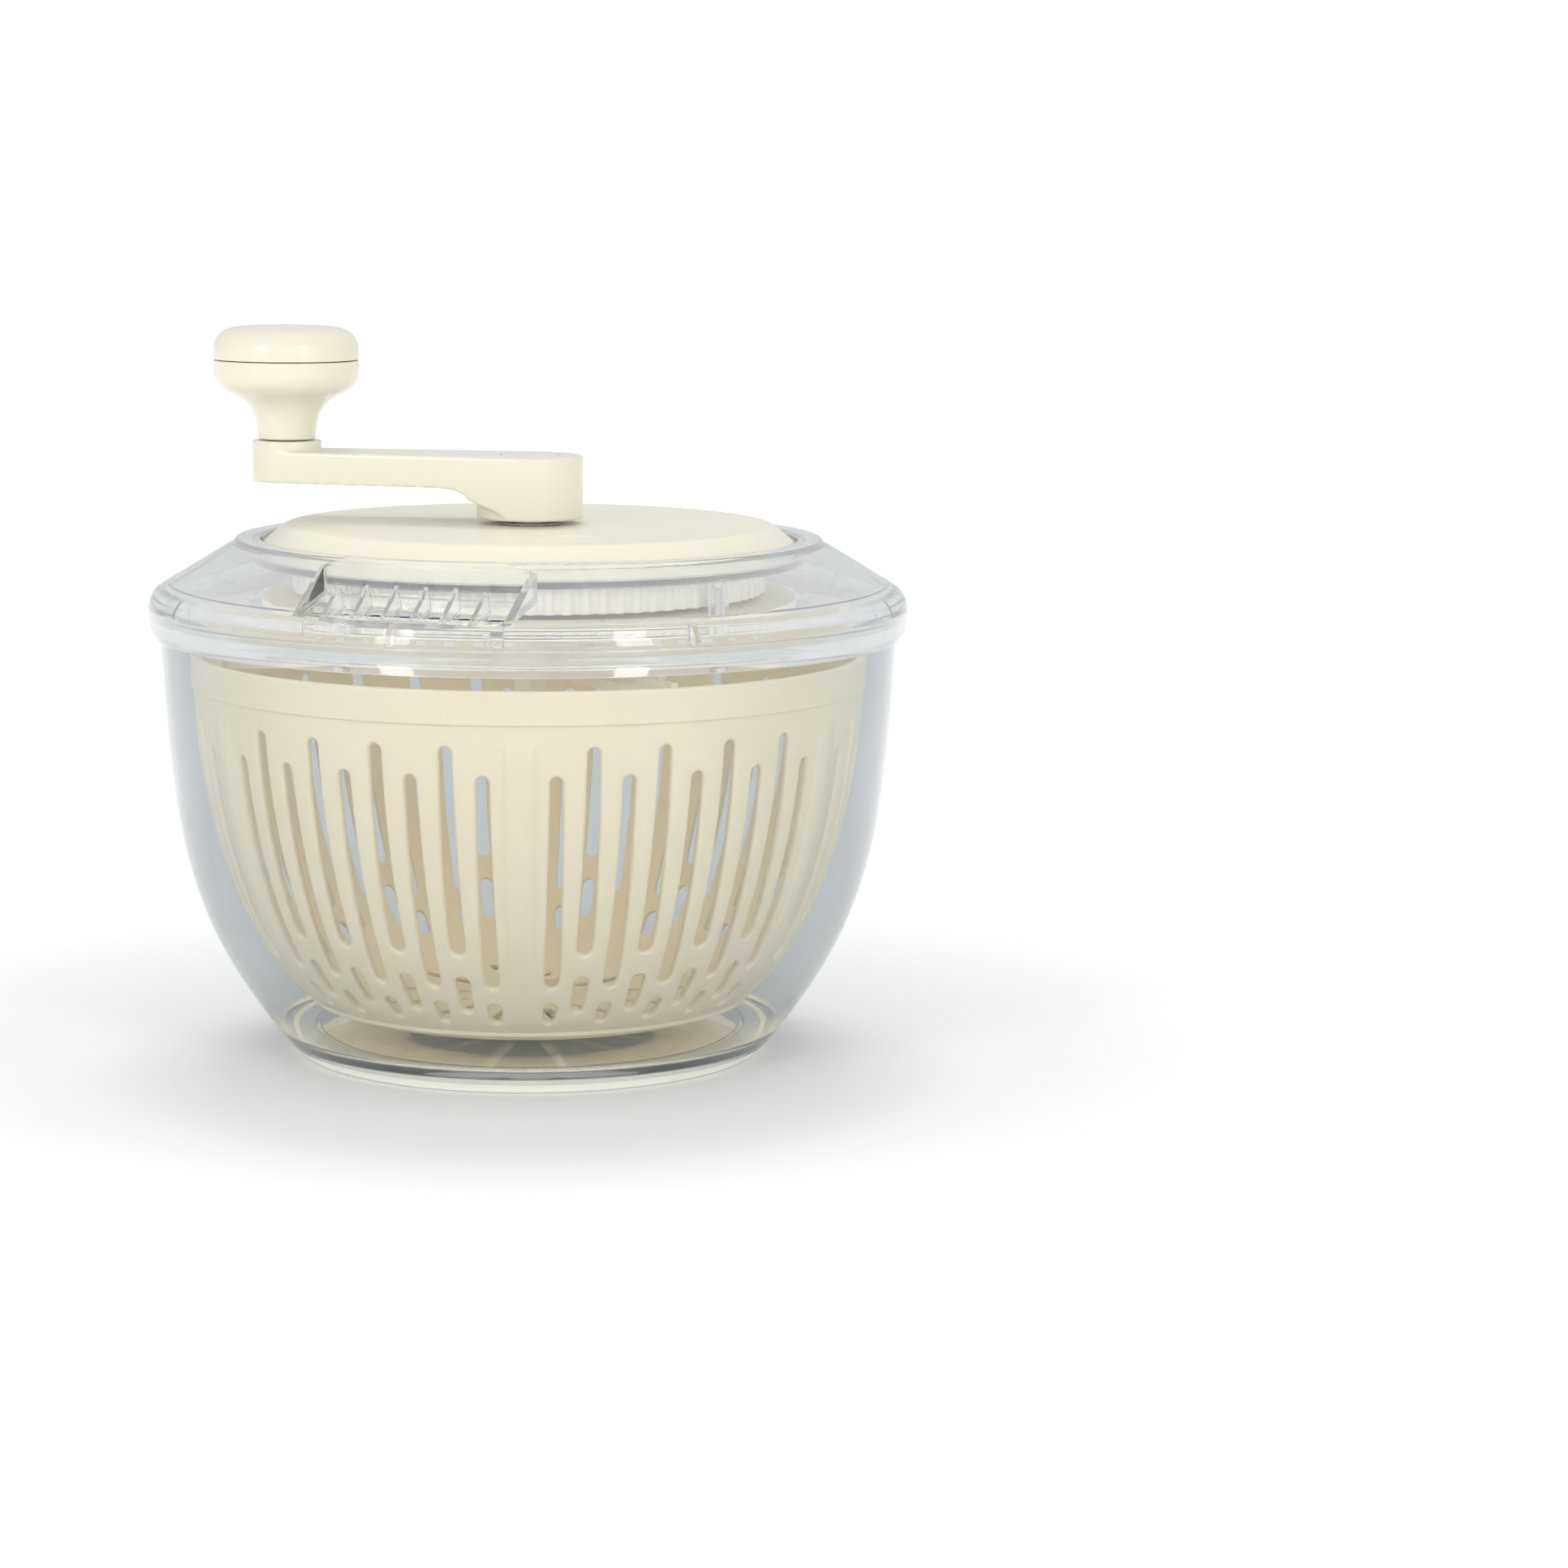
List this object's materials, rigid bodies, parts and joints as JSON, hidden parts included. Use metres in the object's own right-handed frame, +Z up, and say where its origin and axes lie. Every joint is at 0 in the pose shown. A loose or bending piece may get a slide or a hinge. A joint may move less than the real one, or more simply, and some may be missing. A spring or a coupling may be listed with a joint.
{
  "type": "salad spinner",
  "caption": "Hand-cranked salad spinner with a clear bowl and lid, a slotted basket, a planetary drive in the lid and a comb-like pouring spout.",
  "frame": {"origin": "on the surface that the spinner stands on, on the axis of the bowl, basket and crank", "axes": "+Z up along the spin axis, -Y towards the front, +X to the right as seen from the front"},
  "size_m": [0.25, 0.25, 0.2384],
  "materials": {
    "clear_bowl": "clear, smooth, faint cool tint",
    "clear_lid": "clear, smooth, faint cool tint",
    "foot_rubber": "off-white, matt",
    "basket_cream": "cream, satin moulded",
    "cover_cream": "cream, fine satin",
    "crank_cream": "cream, semi-gloss",
    "gear_white": "white nylon, satin",
    "nylon": "white nylon, satin",
    "steel": "plain bright steel"
  },
  "bodies": {
    "bowl": {"outer_bowl": "clear_bowl", "foot_ring": "foot_rubber"},
    "bearing": {"pivot_bearing": "nylon"},
    "basket": {"basket": "basket_cream"},
    "lid": {"lid_shell": "clear_lid", "gear_cover": "cover_cream", "gear_base": "cover_cream", "crank_bush": "nylon", "sun_bush": "nylon", "lid_screw_1": "steel", "lid_screw_2": "steel", "lid_screw_3": "steel", "lid_screw_4": "steel", "planet_pin_1": "steel", "planet_pin_2": "steel", "planet_pin_3": "steel"},
    "crank": {"crank_arm": "crank_cream", "crank_shaft": "steel", "ring_gear": "gear_white", "crank_screw": "steel", "hub_cap": "crank_cream", "knob_pin": "steel"},
    "knob": {"knob_stem": "crank_cream", "knob_cap": "crank_cream"},
    "planet_1": {"planet_gear_1": "gear_white"},
    "planet_2": {"planet_gear_2": "gear_white"},
    "planet_3": {"planet_gear_3": "gear_white"},
    "drive": {"sun_gear": "gear_white", "drive_shaft": "nylon", "drive_clip": "steel", "drive_carrier": "basket_cream"}
  },
  "joints": [
    {"name": "basket_lift", "type": "slide", "parent": "bowl", "child": "bearing", "axis": [0, 0, 1], "range_m": [0, 0.15]},
    {"name": "lid_lift", "type": "slide", "parent": "bearing", "child": "lid", "axis": [0, 0, 1], "range_m": [0, 0.12]},
    {"name": "crank_spin", "type": "hinge", "parent": "lid", "child": "crank", "pos_m": [0, 0, 0.19], "axis": [0, 0, 1], "continuous": true},
    {"name": "basket_spin", "type": "hinge", "parent": "bearing", "child": "basket", "pos_m": [0, 0, 0.02], "axis": [0, 0, 1], "continuous": true},
    {"name": "drive_spin", "type": "hinge", "parent": "lid", "child": "drive", "pos_m": [0, 0, 0.14], "axis": [0, 0, 1], "continuous": true},
    {"name": "planet_1_spin", "type": "hinge", "parent": "lid", "child": "planet_1", "pos_m": [0, 0.04725, 0.154], "axis": [0, 0, 1], "continuous": true},
    {"name": "planet_2_spin", "type": "hinge", "parent": "lid", "child": "planet_2", "pos_m": [-0.04092, -0.02363, 0.154], "axis": [0, 0, 1], "continuous": true},
    {"name": "planet_3_spin", "type": "hinge", "parent": "lid", "child": "planet_3", "pos_m": [0.04092, -0.02363, 0.154], "axis": [0, 0, 1], "continuous": true},
    {"name": "knob_spin", "type": "hinge", "parent": "crank", "child": "knob", "pos_m": [-0.08053, 0.02008, 0.21], "axis": [0, 0, 1], "continuous": true}
  ],
  "couplings": [
    {"joint": "basket_spin", "follows": "crank_spin", "ratio": -3.5},
    {"joint": "drive_spin", "follows": "crank_spin", "ratio": -3.5},
    {"joint": "planet_1_spin", "follows": "crank_spin", "ratio": 2.8},
    {"joint": "planet_2_spin", "follows": "crank_spin", "ratio": 2.8},
    {"joint": "planet_3_spin", "follows": "crank_spin", "ratio": 2.8}
  ]
}
